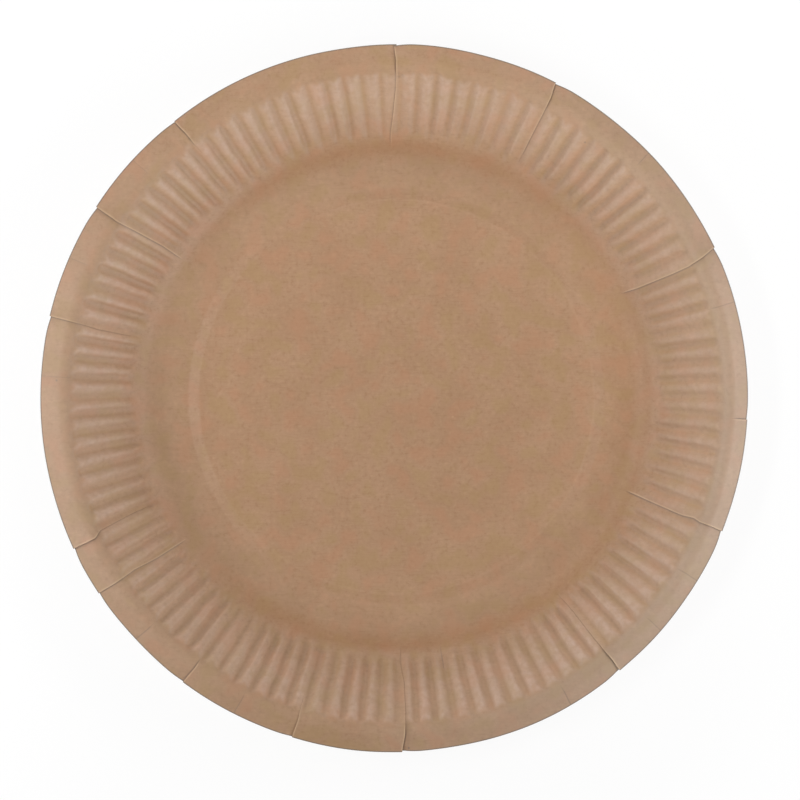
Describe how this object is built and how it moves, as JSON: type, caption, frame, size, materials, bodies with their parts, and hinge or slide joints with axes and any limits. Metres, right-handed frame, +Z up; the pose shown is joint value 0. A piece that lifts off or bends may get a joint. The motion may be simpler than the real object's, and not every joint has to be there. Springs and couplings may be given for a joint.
{
  "type": "paper plate",
  "caption": "Round plate pressed from one sheet of kraft board, with a raised centre, a fluted wall and a plain brim with lapped pleats, to serve food on.",
  "frame": {"origin": "centre of the plate, on the plane that its foot ring stands on", "axes": "+Z up out of the plate; +X and +Y are the picture's right and up"},
  "size_m": [0.23, 0.23, 0.0194],
  "materials": {
    "kraft_board": "uncoated brown kraft board, matt with a faint sheen where the die has pressed it"
  },
  "bodies": {
    "root": {"plate": "kraft_board"}
  },
  "joints": []
}
